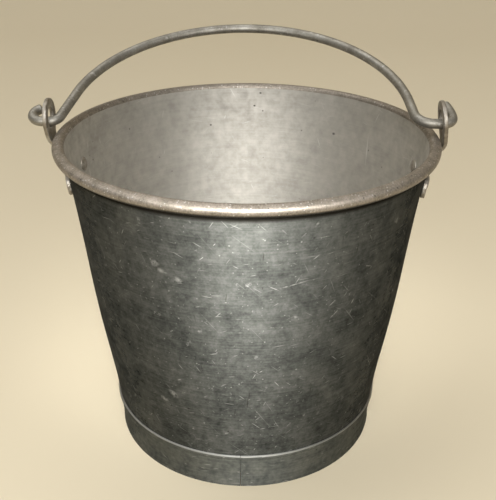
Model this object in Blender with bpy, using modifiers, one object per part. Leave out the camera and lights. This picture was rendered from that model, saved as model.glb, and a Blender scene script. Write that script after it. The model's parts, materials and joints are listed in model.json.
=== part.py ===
"""An old aluminium pail: a drawn shell with a curled rim, a hoop round its foot, two cast ears
riveted to its wall, and a round wire bail that hangs in the ears.

Metres, +Z up. The origin is the middle of the shell's underside. The ears stand on the X axis,
and the bail leans back towards +Y. The foot hoop's lower edge is FOOT_DEPTH below the origin.
"""
import math

import bmesh
import bpy
from mathutils import Matrix, Vector

MM = 0.001
CLEARANCE = 0.3 * MM
FLAT = 0.0
HALF_TURN = math.pi
QUARTER_TURN = math.pi / 2
FULL_TURN = 2 * math.pi
MERGE_DISTANCE = 0.01 * MM

# Shell: one drawn sheet with its rim rolled outwards
RIM_DIAMETER = 300 * MM
SHELL_HEIGHT = 251.4 * MM
BASE_DIAMETER = 220 * MM
SHELL_SHEET = 1.5 * MM
CORNER_RADIUS = 6 * MM
CURL_DIAMETER = 9.2 * MM
CURL_SWEEP = math.radians(302)
WALL_SWELL = 1.7 * MM

# Hoop round the foot: a bent strip with a bead along its top edge and a butt seam in front
FOOT_DEPTH = 10 * MM
FOOT_HEIGHT = 32.8 * MM
FOOT_SHEET = 1.0 * MM
FOOT_UPRIGHT = 13 * MM
FOOT_BEAD_HEIGHT = 3.6 * MM
FOOT_BEAD_PROUD = 0.6 * MM
FOOT_SEAM_GAP = 0.4 * MM

# Ears: a plate on the wall, an arm that passes out under the curl, and an upright ring
EAR_THICKNESS = 3.4 * MM
EAR_RIVET_DEPTH = 35 * MM
EAR_PLATE_HALF_WIDTH = 32 * MM
EAR_PLATE_END_RADIUS = 8.5 * MM
EAR_PLATE_BELOW_RIVETS = 11 * MM
EAR_PLATE_ABOVE_RIVETS = 6.5 * MM
EAR_BEND_RADIUS = 7 * MM
EAR_ARM_ANGLE = math.radians(70)
EAR_NECK_WIDTH = 13 * MM
EAR_NECK_FILLET = 8 * MM
EAR_TAPER_LENGTH = 22 * MM
EAR_EDGE_ROUNDING = 0.8 * MM
RING_DIAMETER = 29.4 * MM
RING_HOLE_DIAMETER = 16 * MM
RING_HEIGHT = 10.2 * MM

# Rivets: two through each ear
RIVET_SPACING = 34 * MM
RIVET_SHANK_DIAMETER = 6 * MM
RIVET_HEAD_DIAMETER = 11 * MM
RIVET_HEAD_HEIGHT = 1.0 * MM
RIVET_TAIL_DIAMETER = 11.6 * MM
RIVET_TAIL_HEIGHT = 1.7 * MM
RIVET_HEAD_SEAT = 0.35 * MM

# Bail: one round rod, bent by hand, so its two ends differ
BAIL_ROD_DIAMETER = 7.8 * MM
BAIL_RISE = 152.9 * MM
BAIL_LEAN = math.radians(73.5)

# Facets: steps all round a turned piece, and along each stretch of a section or an outline
SHELL_STEPS = 80
FOOT_STEPS = 72
RIVET_STEPS = 16
CORNER_STEPS = 4
WALL_STEPS = 6
CURL_STEPS = 11
CURL_BORE_STEPS = 8
BEAD_STEPS = 6
DOME_STEPS = 5
PLATE_EDGE_STEPS = 6
PLATE_END_STEPS = 7
PLATE_FOLD_STEPS = 8
NECK_STEPS = 4
RING_STEPS = 12
RING_HOLE_STEPS = 24
ARCH_STEPS = 25
BAIL_BEVEL_STEPS = 4
ARC_STEP = math.radians(16)

# What differs between the ears and between the bail's ends, from the real pail's uneven build:
# turn is the side's bearing about Z, lift is the ear's height above the mean, rim_gap is from
# the curl to the ring, ring_lean tips the ring inwards, leave_angle is where the rod leaves its
# arch, bend_radius is its turn into the ear, bend_end is from that turn's end out to the ring's
# middle, hook_start is from the ring's middle out to the hook, and hook lists the radius and
# angle of each of its arcs.
SIDES = {
    "left": {
        "turn": HALF_TURN,
        "lift": -1.3 * MM,
        "rim_gap": 3.6 * MM,
        "ring_lean": FLAT,
        "leave_angle": math.radians(10.7),
        "bend_radius": 9 * MM,
        "bend_end": -1.7 * MM,
        "hook_start": 5.7 * MM,
        "hook": [(9.5 * MM, math.radians(155))],
    },
    "right": {
        "turn": FLAT,
        "lift": 1.3 * MM,
        "rim_gap": 2.0 * MM,
        "ring_lean": math.radians(7.7),
        "leave_angle": math.radians(6.1),
        "bend_radius": 14.5 * MM,
        "bend_end": 6.2 * MM,
        "hook_start": 0.2 * MM,
        "hook": [(8.2 * MM, math.radians(90)), (50 * MM, math.radians(22))],
    },
}

# Sizes that follow from the ones above
RIM_RADIUS = RIM_DIAMETER / 2
BASE_RADIUS = BASE_DIAMETER / 2
CURL_RADIUS = CURL_DIAMETER / 2
CURL_BORE_RADIUS = CURL_RADIUS - SHELL_SHEET
CURL_CENTRE = Vector((RIM_RADIUS - CURL_RADIUS, SHELL_HEIGHT - CURL_RADIUS))
BAIL_ROD_RADIUS = BAIL_ROD_DIAMETER / 2
RING_HOLE_RADIUS = RING_HOLE_DIAMETER / 2
FOOT_TOP = FOOT_HEIGHT - FOOT_DEPTH
LOWEST_LIFT = min(side["lift"] for side in SIDES.values())
LOWEST_PLATE = SHELL_HEIGHT - EAR_RIVET_DEPTH - EAR_PLATE_BELOW_RIVETS + LOWEST_LIFT


def wall_lean():
    """Angle of the wall from upright: its outside is a line from the base, tangent to the curl's bore."""
    reach = CURL_CENTRE - Vector((BASE_RADIUS, 0))
    return math.atan2(reach.x, reach.y) - math.asin(CURL_BORE_RADIUS / reach.length)


WALL_LEAN = wall_lean()


def wall_radius(z):
    """Outside radius of the wall at a height. It swells a little between the hoop and the ears."""
    share = min(1, max(0, (z - FOOT_TOP) / (LOWEST_PLATE - FOOT_TOP)))
    return BASE_RADIUS + z * math.tan(WALL_LEAN) + WALL_SWELL * math.sin(HALF_TURN * share) ** 2


def arc(centre, radius, start, end, steps):
    """Points on an arc, both ends included."""
    angles = [start + (end - start) * i / steps for i in range(steps + 1)]
    return [(centre[0] + radius * math.cos(a), centre[1] + radius * math.sin(a)) for a in angles]


def make_material(name, colour, roughness):
    """A plain metal."""
    material = bpy.data.materials.new(name)
    material.use_nodes = True
    shader = material.node_tree.nodes["Principled BSDF"]
    shader.inputs["Base Color"].default_value = (*colour, 1)
    shader.inputs["Metallic"].default_value = 1
    shader.inputs["Roughness"].default_value = roughness
    return material


def link(name, data, material, collection):
    """A new object of the pail, in its collection and with its material."""
    thing = bpy.data.objects.new(name, data)
    data.materials.append(material)
    collection.objects.link(thing)
    return thing


def turned(name, profile, steps, material, collection, closed=False):
    """A profile in the XZ plane, turned about Z. Its outer side runs down."""
    edges = [(i, i + 1) for i in range(len(profile) - 1)]
    if closed:
        edges.append((len(profile) - 1, 0))
    mesh = bpy.data.meshes.new(name)
    mesh.from_pydata([(x, 0, z) for x, z in profile], edges, [])
    thing = link(name, mesh, material, collection)
    screw = thing.modifiers.new("Turn", "SCREW")
    screw.steps = steps
    screw.render_steps = steps
    screw.use_merge_vertices = True
    screw.merge_threshold = MERGE_DISTANCE
    return thing


def cut(thing, cutter, name):
    """Takes a cutter's shape out of an object."""
    boolean = thing.modifiers.new(name, "BOOLEAN")
    boolean.operation = "DIFFERENCE"
    boolean.solver = "EXACT"
    boolean.object = cutter


def make_cutter(name, cutters):
    """Keeps the last added primitive as a cutter."""
    cutter = bpy.context.object
    cutter.name = name
    for collection in list(cutter.users_collection):
        collection.objects.unlink(cutter)
    cutters.objects.link(cutter)
    cutter.hide_render = True
    cutter.display_type = "WIRE"
    return cutter


# Shell


def swollen_wall(depth):
    """Points up the swollen part of the wall, a depth in from its outside."""
    points = []
    for i in range(WALL_STEPS + 1):
        height = FOOT_TOP + (LOWEST_PLATE - FOOT_TOP) * i / WALL_STEPS
        radius = wall_radius(height)
        points.append((radius - depth * math.cos(WALL_LEAN), height + depth * math.sin(WALL_LEAN)))
    return points


def shell_profile():
    """The sheet's section: inside of the bottom, up the wall, round the curl and down outside."""
    corner = (
        BASE_RADIUS + CORNER_RADIUS * (math.tan(WALL_LEAN) - 1 / math.cos(WALL_LEAN)),
        CORNER_RADIUS,
    )
    down = -QUARTER_TURN
    curl_start = HALF_TURN - WALL_LEAN
    curl_end = curl_start - CURL_SWEEP
    inside = [(0, SHELL_SHEET)]
    inside += arc(corner, CORNER_RADIUS - SHELL_SHEET, down, -WALL_LEAN, CORNER_STEPS - 1)
    inside += swollen_wall(SHELL_SHEET)
    inside += arc(CURL_CENTRE, CURL_RADIUS, curl_start, curl_end, CURL_STEPS)
    outside = arc(CURL_CENTRE, CURL_BORE_RADIUS, curl_end, curl_start, CURL_BORE_STEPS)
    outside += swollen_wall(FLAT)[::-1]
    outside += arc(corner, CORNER_RADIUS, -WALL_LEAN, down, CORNER_STEPS)
    outside += [(0, 0)]
    return inside + outside


def make_shell(material, collection):
    """The pail's one-piece shell."""
    return turned("pail_shell", shell_profile(), SHELL_STEPS, material, collection)


# Foot hoop


def foot_profile():
    """The strip's section. It lies on the wall at its top and stands upright below."""
    seat = CLEARANCE / math.cos(WALL_LEAN)
    knee = FOOT_UPRIGHT - FOOT_DEPTH
    inner_top = wall_radius(FOOT_TOP) + seat
    inner_foot = wall_radius(knee) + seat
    outer_foot = inner_foot + FOOT_SHEET
    bead_centre = FOOT_TOP - FOOT_BEAD_HEIGHT / 2
    inside = [(inner_foot, -FOOT_DEPTH), (inner_foot, knee), (inner_top, FOOT_TOP)]
    bead = []
    for i in range(BEAD_STEPS + 1):
        angle = QUARTER_TURN - HALF_TURN * i / BEAD_STEPS
        height = bead_centre + math.sin(angle) * FOOT_BEAD_HEIGHT / 2
        sheet_face = wall_radius(height) + seat + FOOT_SHEET
        bead.append((sheet_face + FOOT_BEAD_PROUD * math.cos(angle), height))
    outside = [(outer_foot, knee), (outer_foot, -FOOT_DEPTH)]
    return inside + bead + outside


def make_foot(material, collection, cutters):
    """The hoop, open at the narrow seam where the strip's ends meet in front."""
    hoop = turned("foot_hoop", foot_profile(), FOOT_STEPS, material, collection, closed=True)
    reach = wall_radius(FOOT_HEIGHT)
    bpy.ops.mesh.primitive_cube_add(size=1, location=(0, -reach, FOOT_TOP / 2))
    seam = make_cutter("seam_cutter", cutters)
    seam.scale = (FOOT_SEAM_GAP, reach / 2, FOOT_HEIGHT * 2)
    cut(hoop, seam, "Butt seam")
    return hoop


# Ears


def plate_bottom_height(side):
    """Height of the middle of the ear's lower edge."""
    rivet_height = SHELL_HEIGHT - EAR_RIVET_DEPTH + side["lift"]
    return rivet_height - EAR_PLATE_BELOW_RIVETS * math.cos(WALL_LEAN)


def ring_plane(side):
    """A point of the ring's middle plane at the curl's height, and the way up that plane."""
    point = Vector((RIM_RADIUS + side["rim_gap"] + EAR_THICKNESS / 2, CURL_CENTRE[1]))
    way = Vector((-math.sin(side["ring_lean"]), math.cos(side["ring_lean"])))
    return point, way


def ring_centre(side):
    """Centre of the ring's hole, as distance from the axis and height."""
    point, way = ring_plane(side)
    height = SHELL_HEIGHT + RING_HEIGHT + side["lift"]
    return point + way * (height - point.y) / way.y


def ear_path(side):
    """The ear's middle line in the XZ plane: its start, and each stretch's length and turn.

    A turn is an angle from upright, positive outwards. The upper bend keeps its distance from
    the curl all the way round, which fixes how long the plate and the arm are."""
    bottom = plate_bottom_height(side)
    seat = (CLEARANCE + EAR_THICKNESS / 2) / math.cos(WALL_LEAN)
    start = Vector((wall_radius(bottom) + seat, bottom))
    lean = -side["ring_lean"]
    turn_out = EAR_ARM_ANGLE - WALL_LEAN
    turn_up = lean - EAR_ARM_ANGLE
    round_curl = CURL_RADIUS + side["rim_gap"] + EAR_THICKNESS / 2

    def bend_step(radius, first, last):
        across = radius * (math.cos(first) - math.cos(last))
        rise = radius * (math.sin(last) - math.sin(first))
        return Vector((across, rise))

    out_step = bend_step(EAR_BEND_RADIUS, WALL_LEAN, EAR_ARM_ANGLE)
    up_step = bend_step(round_curl, lean, EAR_ARM_ANGLE)
    point, way = ring_plane(side)
    rest = point - start - out_step - up_step
    wall_way = Vector((math.sin(WALL_LEAN), math.cos(WALL_LEAN)))
    arm_way = Vector((math.sin(EAR_ARM_ANGLE), math.cos(EAR_ARM_ANGLE)))
    plate = rest.cross(arm_way) / wall_way.cross(arm_way)
    arm = wall_way.cross(rest) / wall_way.cross(arm_way)
    upright = (ring_centre(side) - point).dot(way)
    stretches = [
        (plate, FLAT),
        (EAR_BEND_RADIUS * turn_out, turn_out),
        (arm, FLAT),
        (round_curl * abs(turn_up), turn_up),
        (upright, FLAT),
    ]
    return start, stretches


def walk(start, heading, stretches, distance):
    """Where a path of straight and round stretches is after a distance, and its heading there."""
    place = start.copy()
    left = distance
    for number, (length, turn) in enumerate(stretches):
        last = number == len(stretches) - 1
        step = left if last else min(left, length)
        if turn:
            radius = length / turn
            new_heading = heading + turn * step / length
            place += radius * Vector((
                math.cos(heading) - math.cos(new_heading),
                math.sin(new_heading) - math.sin(heading),
            ))
            heading = new_heading
        else:
            place += step * Vector((math.sin(heading), math.cos(heading)))
        left -= step
        if left <= 0 and not last:
            break
    return place, heading


def ear_outline(ring_distance):
    """Half of the flat ear's outline, from the middle of its lower edge up to the ring's top."""
    end_centre = EAR_PLATE_HALF_WIDTH - EAR_PLATE_END_RADIUS
    end_top = EAR_PLATE_BELOW_RIVETS + EAR_PLATE_ABOVE_RIVETS
    end_bottom = end_top - 2 * EAR_PLATE_END_RADIUS
    neck = EAR_NECK_WIDTH / 2
    ring_radius = RING_DIAMETER / 2
    outline = []
    for i in range(PLATE_EDGE_STEPS):
        share = i / PLATE_EDGE_STEPS
        outline.append((end_centre * share, end_bottom * (1 - math.cos(HALF_TURN * share)) / 2))
    plate_end = (end_centre, end_top - EAR_PLATE_END_RADIUS)
    outline += arc(plate_end, EAR_PLATE_END_RADIUS, -QUARTER_TURN, QUARTER_TURN, PLATE_END_STEPS)
    fillet_centre = (neck + EAR_NECK_FILLET, end_top + EAR_NECK_FILLET)
    outline += arc(fillet_centre, EAR_NECK_FILLET, -QUARTER_TURN, -HALF_TURN, NECK_STEPS)
    outline.append((neck, ring_distance - EAR_TAPER_LENGTH))
    below = math.atan2(-EAR_TAPER_LENGTH, neck)
    meet = below + math.acos(ring_radius / math.hypot(neck, EAR_TAPER_LENGTH))
    outline += arc((0, ring_distance), ring_radius, meet, QUARTER_TURN, RING_STEPS)
    return outline


def flat_ear(name, ring_distance, collection):
    """The ear before it is bent, as a mesh: X across, Y along it, Z through its thickness."""
    curve = bpy.data.curves.new(name, "CURVE")
    curve.dimensions = "2D"
    curve.fill_mode = "BOTH"
    curve.extrude = EAR_THICKNESS / 2
    half = ear_outline(ring_distance)
    outline = half + [(-x, y) for x, y in reversed(half) if x > CLEARANCE]
    rivet_hole = RIVET_SHANK_DIAMETER / 2 + CLEARANCE
    loops = [outline, arc((0, ring_distance), RING_HOLE_RADIUS, 0, FULL_TURN, RING_HOLE_STEPS)[1:]]
    for way in (-1, 1):
        centre = (way * RIVET_SPACING / 2, EAR_PLATE_BELOW_RIVETS)
        loops.append(arc(centre, rivet_hole, 0, FULL_TURN, RIVET_STEPS)[1:])
    for points in loops:
        spline = curve.splines.new("POLY")
        spline.points.add(len(points) - 1)
        for point, (x, y) in zip(spline.points, points):
            point.co = (x, y, 0, 1)
        spline.use_cyclic_u = True
    blank = bpy.data.objects.new(name, curve)
    collection.objects.link(blank)
    evaluated = blank.evaluated_get(bpy.context.evaluated_depsgraph_get())
    mesh = bpy.data.meshes.new_from_object(evaluated)
    bpy.data.objects.remove(blank)
    return mesh


def score(shape, place, normal):
    """Adds an edge all round where a plane crosses the shape, so that it can bend there."""
    geometry = shape.verts[:] + shape.edges[:] + shape.faces[:]
    bmesh.ops.bisect_plane(shape, geom=geometry, dist=MERGE_DISTANCE, plane_co=place, plane_no=normal)


def make_ear(name, side, material, collection):
    """One ear, bent from its flat outline onto the wall, out under the curl and up."""
    start, stretches = ear_path(side)
    ring_distance = sum(length for length, turn in stretches)
    round_end = ring_distance - stretches[-1][0]
    mesh = flat_ear(name, ring_distance, collection)
    shape = bmesh.new()
    shape.from_mesh(mesh)
    bmesh.ops.remove_doubles(shape, verts=shape.verts, dist=MERGE_DISTANCE)
    bmesh.ops.recalc_face_normals(shape, faces=shape.faces)
    distance = 0
    for length, turn in stretches[:-1]:
        count = max(1, round(abs(turn) / ARC_STEP))
        for i in range(count):
            distance += length / count
            score(shape, (0, distance, 0), (0, 1, 0))
    for i in range(1, PLATE_FOLD_STEPS):
        across = EAR_PLATE_HALF_WIDTH * (2 * i / PLATE_FOLD_STEPS - 1)
        score(shape, (across, 0, 0), (1, 0, 0))
    plate_end = stretches[0][0]
    for vert in shape.verts:
        across, along, through = vert.co
        place, heading = walk(start, WALL_LEAN, stretches, along)
        hug = min(1, max(0, (round_end - along) / (round_end - plate_end)))
        radius = place.x / hug if hug else math.inf
        angle = across / radius
        sideways = radius * math.sin(angle) if hug else across
        pulled_in = radius * (1 - math.cos(angle)) if hug else 0
        outward = through * math.cos(heading)
        vert.co = (
            place.x - pulled_in + outward * math.cos(angle),
            sideways + outward * math.sin(angle),
            place.y - through * math.sin(heading),
        )
    shape.to_mesh(mesh)
    shape.free()
    ear = link(name, mesh, material, collection)
    ear.rotation_euler.z = side["turn"]
    bevel = ear.modifiers.new("Rounded edges", "BEVEL")
    bevel.width = EAR_EDGE_ROUNDING
    bevel.segments = 1
    bevel.limit_method = "ANGLE"
    bevel.angle_limit = math.radians(50)
    return ear


# Rivets


def rivet_place(side, way):
    """The matrix that stands a rivet on the wall's outside: Z outwards, origin on the wall's face."""
    height = SHELL_HEIGHT - EAR_RIVET_DEPTH + side["lift"]
    ear_middle = wall_radius(height) + (CLEARANCE + EAR_THICKNESS / 2) / math.cos(WALL_LEAN)
    bearing = side["turn"] + way * RIVET_SPACING / 2 / ear_middle
    out = Matrix.Rotation(bearing, 4, "Z") @ Matrix.Translation((wall_radius(height), 0, height))
    return out @ Matrix.Rotation(QUARTER_TURN + WALL_LEAN, 4, "Y")


def rivet_profile():
    """Domed head, shank and hammered tail. Zero is the wall's outside."""
    head_seat = CLEARANCE + EAR_THICKNESS + RIVET_HEAD_SEAT
    tail_seat = -SHELL_SHEET - RIVET_HEAD_SEAT
    shank = RIVET_SHANK_DIAMETER / 2

    def dome(radius, height, base):
        points = []
        for i in range(DOME_STEPS + 1):
            angle = QUARTER_TURN * i / DOME_STEPS
            points.append((radius * math.sin(angle), base + height * math.cos(angle)))
        return points

    head = dome(RIVET_HEAD_DIAMETER / 2, RIVET_HEAD_HEIGHT, head_seat)
    tail = dome(RIVET_TAIL_DIAMETER / 2, -RIVET_TAIL_HEIGHT, tail_seat)
    return head + [(shank, head_seat), (shank, tail_seat)] + tail[::-1]


def make_rivets(side_name, side, shell, material, collection, cutters):
    """The two rivets of an ear, and their holes in the wall."""
    for way in (-1, 1):
        towards_back = way > 0 if side_name == "right" else way < 0
        name = f"rivet_{side_name}_{'rear' if towards_back else 'front'}"
        place = rivet_place(side, way)
        rivet = turned(name, rivet_profile(), RIVET_STEPS, material, collection)
        rivet.matrix_world = place
        bpy.ops.mesh.primitive_cylinder_add(
            vertices=RIVET_STEPS,
            radius=RIVET_SHANK_DIAMETER / 2 + CLEARANCE,
            depth=SHELL_SHEET * 6,
        )
        hole = make_cutter(f"{name}_hole", cutters)
        hole.matrix_world = place
        cut(shell, hole, f"Hole for {name}")


# Bail


def pivot(side):
    """Where the rod lies on the bottom of an ear's hole: its distance from the axis and its height."""
    centre = ring_centre(side)
    way = ring_plane(side)[1]
    lean_rise = EAR_THICKNESS / 2 * math.sin(side["ring_lean"])
    drop = RING_HOLE_RADIUS - BAIL_ROD_RADIUS - CLEARANCE - lean_rise
    return centre - way * drop / way.y


def bail_axis():
    """The bail's pivot line: its middle, the way to the right ear, and each ring's distance on it."""
    ends = {}
    for name, side in SIDES.items():
        at = pivot(side)
        ends[name] = Vector((at.x * math.cos(side["turn"]), 0, at.y))
    way = (ends["right"] - ends["left"]).normalized()
    middle = ends["left"] - way * ends["left"].x / way.x
    rings = {name: abs((end - middle).dot(way)) for name, end in ends.items()}
    return middle, way, rings


def arch(rings):
    """Radius of the bail's arch and how far its centre is shifted along the pivot line.

    Each end has to turn level at bend_end from its ring, which gives one equation a side."""
    shares = {}
    rests = {}
    for name, side in SIDES.items():
        leave = side["leave_angle"]
        shares[name] = math.cos(leave) - math.tan(leave) * (1 - math.sin(leave))
        drop = side["bend_radius"] * (1 - math.sin(leave))
        turn = side["bend_radius"] * math.cos(leave)
        reach = rings[name] - side["bend_end"]
        rests[name] = reach - turn - math.tan(leave) * (BAIL_RISE - drop)
    radius = (rests["left"] + rests["right"]) / (shares["left"] + shares["right"])
    shift = rests["right"] - radius * shares["right"]
    return radius, shift


def bail_end(side, radius, shift, ring):
    """One end of the bail, from where it leaves the arch to the hook's tip, outwards positive."""
    leave = side["leave_angle"]
    centre_height = BAIL_RISE - radius
    start = Vector((shift + radius * math.cos(leave), centre_height + radius * math.sin(leave)))
    drop = side["bend_radius"] * (1 - math.sin(leave))
    straight = (start.y - drop) / math.cos(leave)
    level = side["bend_end"] + side["hook_start"]
    heading = HALF_TURN - leave
    level_turn = QUARTER_TURN - heading
    stretches = [(straight, FLAT), (side["bend_radius"] * abs(level_turn), level_turn), (level, FLAT)]
    for hook_radius, hook_turn in side["hook"]:
        stretches.append((hook_radius * hook_turn, -hook_turn))
    points = [start]
    distance = 0
    for length, turn in stretches:
        count = max(1, round(abs(turn) / ARC_STEP))
        for i in range(count):
            distance += length / count
            points.append(walk(start, heading, stretches, distance)[0])
    return points


def make_bail(material, collection):
    """The bail, with its origin on the pivot line and its plane along local Z."""
    middle, way, rings = bail_axis()
    radius, shift = arch(rings)
    left = bail_end(SIDES["left"], radius, -shift, rings["left"])
    right = bail_end(SIDES["right"], radius, shift, rings["right"])
    first = HALF_TURN - SIDES["left"]["leave_angle"]
    last = SIDES["right"]["leave_angle"]
    crown = arc((shift, BAIL_RISE - radius), radius, first, last, ARCH_STEPS)
    points = [(-p.x, p.y) for p in reversed(left)] + crown[1:-1] + [(p.x, p.y) for p in right]
    curve = bpy.data.curves.new("bail", "CURVE")
    curve.dimensions = "3D"
    curve.bevel_depth = BAIL_ROD_RADIUS
    curve.bevel_resolution = BAIL_BEVEL_STEPS
    curve.use_fill_caps = True
    spline = curve.splines.new("POLY")
    spline.points.add(len(points) - 1)
    for point, (x, z) in zip(spline.points, points):
        point.co = (x, 0, z, 1)
    bail = link("bail", curve, material, collection)
    tilt = math.atan2(way.z, way.x)
    place = Matrix.Translation(middle) @ Matrix.Rotation(-tilt, 4, "Y")
    bail.matrix_world = place @ Matrix.Rotation(-BAIL_LEAN, 4, "X")
    return bail


def shade(thing):
    """Smooth shading on a mesh's round faces."""
    if thing.type == "MESH":
        thing.data.shade_smooth()
        thing.data.set_sharp_from_angle(angle=math.radians(35))


def main():
    for thing in list(bpy.data.objects):
        bpy.data.objects.remove(thing)
    pail = bpy.data.collections.new("pail")
    cutters = bpy.data.collections.new("cutters")
    for collection in (pail, cutters):
        bpy.context.scene.collection.children.link(collection)
    sheet = make_material("worn_sheet", (0.42, 0.43, 0.41), 0.42)
    strip = make_material("worn_strip", (0.38, 0.38, 0.36), 0.45)
    casting = make_material("worn_casting", (0.45, 0.43, 0.40), 0.38)
    rivet_metal = make_material("worn_rivet", (0.48, 0.47, 0.45), 0.40)
    rod = make_material("worn_rod", (0.40, 0.38, 0.36), 0.36)
    shell = make_shell(sheet, pail)
    make_foot(strip, pail, cutters)
    for name, side in SIDES.items():
        make_ear(f"ear_{name}", side, casting, pail)
        make_rivets(name, side, shell, rivet_metal, pail, cutters)
    make_bail(rod, pail)
    for thing in pail.objects:
        shade(thing)


main()
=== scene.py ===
"""An old aluminium pail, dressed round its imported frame.

Each operator makes one piece or one group of like pieces: the spun shell, the strip round its foot,
the two cast ears, the rivets and the bail. The stage operator makes the floor, the lamps and the
camera. Lengths are metres, Z is up, the ears stand on the X axis and the bail leans back to +Y.
"""
import json
import math

import bmesh
import bpy
from bpy.props import FloatProperty, FloatVectorProperty, IntProperty, PointerProperty
from mathutils import Matrix, Vector


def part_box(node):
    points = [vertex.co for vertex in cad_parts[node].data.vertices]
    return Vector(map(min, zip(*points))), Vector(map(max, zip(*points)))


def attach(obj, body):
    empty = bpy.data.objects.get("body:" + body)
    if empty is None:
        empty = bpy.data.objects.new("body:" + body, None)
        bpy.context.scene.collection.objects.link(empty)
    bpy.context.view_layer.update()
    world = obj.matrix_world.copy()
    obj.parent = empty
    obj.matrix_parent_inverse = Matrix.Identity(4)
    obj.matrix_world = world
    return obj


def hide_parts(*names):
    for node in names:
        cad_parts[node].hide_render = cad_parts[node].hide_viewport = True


bl_info = {
    "name": "Old Aluminium Pail",
    "version": (1, 0, 0),
    "blender": (4, 5, 0),
    "location": "3D View > Sidebar > Pail",
    "description": "Builds a worn aluminium pail with a curled rim, a foot strip and a wire bail",
    "category": "Add Mesh",
}

MM = 0.001
HALF_TURN = math.pi
QUARTER_TURN = math.pi / 2
FULL_TURN = 2 * math.pi

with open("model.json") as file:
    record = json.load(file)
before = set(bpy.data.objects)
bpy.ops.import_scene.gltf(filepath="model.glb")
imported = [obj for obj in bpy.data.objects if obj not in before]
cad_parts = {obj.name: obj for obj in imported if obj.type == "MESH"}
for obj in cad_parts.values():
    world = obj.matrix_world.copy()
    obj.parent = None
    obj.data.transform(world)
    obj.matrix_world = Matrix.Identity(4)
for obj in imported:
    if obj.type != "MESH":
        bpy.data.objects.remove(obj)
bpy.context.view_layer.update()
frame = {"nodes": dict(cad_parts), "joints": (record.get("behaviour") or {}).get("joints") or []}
SHELL_LOW, SHELL_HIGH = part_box("pail_shell")
HOOP_LOW, HOOP_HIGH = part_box("foot_hoop")
BAIL_JOINT = frame["joints"][0]

MEAN_RADIUS = 127 * MM
EARS = ("ear_left", "ear_right")
PLATE_LOW = min(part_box(ear)[0].z for ear in EARS)
RIVETS = ("rivet_left_front", "rivet_left_rear", "rivet_right_front", "rivet_right_rear")

# Points closer than this are one point, first in a new mesh and then in a copy or along a path.
SAME_POINT = 0.005 * MM
SAME_PLACE = 0.01 * MM

# Edges sharper than this stay sharp, with one value for the rod's cut ends.
SHARP = math.radians(50)
SHARP_TIP = math.radians(60)

# Faces across the corner of the bottom, the outside of the curl, its bore and the bail's arch.
CORNER_STEPS = 8
CURL_STEPS = 40
BORE_STEPS = 28
ARCH_STEPS = 160

# Kinds of nodes that are used most.
MATH = "ShaderNodeMath"
VECTOR_MATH = "ShaderNodeVectorMath"
MAP_RANGE = "ShaderNodeMapRange"
SEPARATE = "ShaderNodeSeparateXYZ"
NOISE = "ShaderNodeTexNoise"

# What differs between the bail's two ends, which were bent by hand. Along the pivot line: ring is
# from the pail's axis to the middle of the ear's ring, bend_end from there out to where the turn
# into the ear ends, and hook_start from the ring out to the hook. The rest is as the words say.
BAIL_ENDS = {
    "left": {
        "ring": 155.31 * MM,
        "leave_angle": math.radians(10.7),
        "bend_radius": 9 * MM,
        "bend_end": -1.7 * MM,
        "hook_start": 5.7 * MM,
        "hook": [(9.5 * MM, math.radians(155))],
    },
    "right": {
        "ring": 152.01 * MM,
        "leave_angle": math.radians(6.1),
        "bend_radius": 14.5 * MM,
        "bend_end": 6.2 * MM,
        "hook_start": 0.2 * MM,
        "hook": [(8.2 * MM, math.radians(90)), (50 * MM, math.radians(22))],
    },
}

# Scratches, a row for each direction that they mostly run in: the spacing, the greatest length and
# the width in millimetres, the tilt and its spread in degrees, the share of places that have one,
# its strength and a seed. The widths are drawn greater than the real ones, so that they show.
WALL_SCRATCHES = (
    (11, 11, 0.45, 2, 10, 0.5, 0.4, 3.0),
    (9, 7, 0.5, 38, 30, 0.3, 0.7, 17.0),
    (12, 12, 0.5, -45, 25, 0.3, 0.5, 31.0),
    (34, 36, 0.45, -52, 16, 0.5, 0.3, 61.0),
)
INSIDE_SCRATCHES = ((14, 16, 0.5, 0, 20, 0.5, 0.5, 5.0), (30, 18, 0.6, 86, 25, 0.4, 1.0, 23.0))
STRIP_SCRATCHES = ((9, 10, 0.5, 4, 12, 0.5, 0.6, 7.0), (12, 9, 0.5, -30, 20, 0.4, 0.6, 41.0))

# Marks that stand out. Each is the way round from the front at the mean radius, the height, the
# length, the width, all in millimetres, and the tilt in degrees.
PALE_MARKS = (
    (-56, 197, 7, 5, 20),
    (-52, 192, 5, 4, 0),
    (-40, 187, 6, 4, -30),
    (-55, 79, 9, 5, -35),
    (-65, 70, 7, 4, -20),
    (6, 188, 4, 3, 30),
    (49, 206, 5, 1, 40),
    (68, 154, 8, 1.1, 42),
    (65, 164, 6, 1, 40),
    (36, 186, 18, 0.9, 12),
    (47, 232, 4, 1.6, 60),
)
INSIDE_PALE_MARKS = ((286, 207, 26, 1.2, 85),)
INSIDE_DARK_MARKS = (
    (323, 213, 3, 2.4, 0),
    (392, 243, 2, 1.6, 0),
    (397, 231, 2, 1.6, 0),
    (-362, 214, 2, 1.6, 0),
)
DARK_MARKS = (
    (15, 210, 6, 1, 88),
    (6, 80, 13, 1, 86),
    (-4, 70, 6, 1, 85),
    (-10, 49, 2, 2, 0),
    (11, 42, 2.6, 2.6, 0),
    (22, 35, 2, 2, 0),
    (25, 29, 3, 2, 40),
    (-43, 67, 2.4, 2.4, 0),
    (-84, 37, 2, 2, 0),
)

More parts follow.
